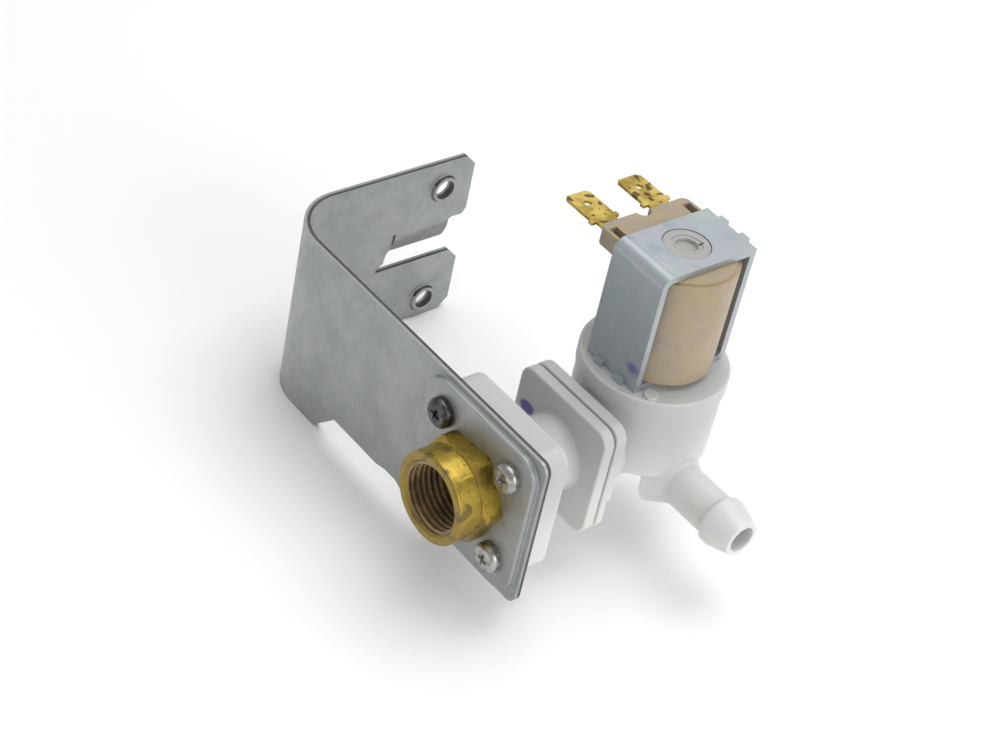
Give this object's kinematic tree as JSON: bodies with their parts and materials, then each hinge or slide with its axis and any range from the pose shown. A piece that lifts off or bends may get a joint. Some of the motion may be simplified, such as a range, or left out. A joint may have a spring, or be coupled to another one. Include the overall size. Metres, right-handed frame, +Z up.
{
  "type": "water inlet solenoid valve",
  "caption": "Water inlet solenoid valve on a bent steel bracket: threaded brass inlet, plastic diaphragm valve, coil in a steel yoke with spade terminals, hose barb outlet.",
  "frame": {"origin": "centre of the threaded inlet's mouth", "axes": "+Y into the valve from the inlet, +X towards the outlet barb, +Z up along the solenoid"},
  "size_m": [0.1125, 0.0735, 0.0724],
  "materials": {
    "galvanised_sheet": "dull galvanised, faint mottling",
    "brass": "turned brass, stained",
    "zinc_screws": "zinc plated, tinted",
    "black_rubber": "matte",
    "natural_plastic": "translucent natural plastic, satin",
    "stainless_mesh": "fine mesh",
    "plunger_steel": "ground",
    "zinc_yoke": "bright zinc with a bluish passivated tint",
    "coil_plastic": "moulded, satin, beige",
    "copper_wire": "enamelled copper"
  },
  "bodies": {
    "valve": {"bracket": "galvanised_sheet", "inlet_fitting": "brass", "bracket_screws": "zinc_screws", "fitting_seal": "black_rubber", "inlet_adapter": "natural_plastic", "inlet_screen": "stainless_mesh", "flange_gasket": "black_rubber", "flow_washer": "black_rubber", "valve_body": "natural_plastic", "diaphragm": "black_rubber", "bonnet": "natural_plastic", "plunger_spring": "plunger_steel", "lower_sleeve": "zinc_yoke", "upper_sleeve": "zinc_yoke", "bobbin": "coil_plastic", "winding": "copper_wire", "coil_cover": "coil_plastic", "terminal_front": "brass", "terminal_rear": "brass", "yoke_upper": "zinc_yoke", "yoke_lower": "zinc_yoke"},
    "plunger": {"plunger": "plunger_steel", "plunger_seal": "black_rubber"},
    "insert": {"diaphragm_insert": "natural_plastic"}
  },
  "joints": [
    {"name": "plunger_lift", "type": "slide", "parent": "valve", "child": "plunger", "axis": [0, 0, 1], "range_m": [0, 0.002], "stiffness_N_per_m": 150, "springref_m": -0.008, "deforming": ["plunger_spring"]},
    {"name": "diaphragm_lift", "type": "slide", "parent": "valve", "child": "insert", "axis": [0, 0, 1], "range_m": [0, 0.0014], "deforming": ["diaphragm"]}
  ],
  "couplings": [
    {"joint": "diaphragm_lift", "follows": "plunger_lift", "ratio": 0.7}
  ]
}
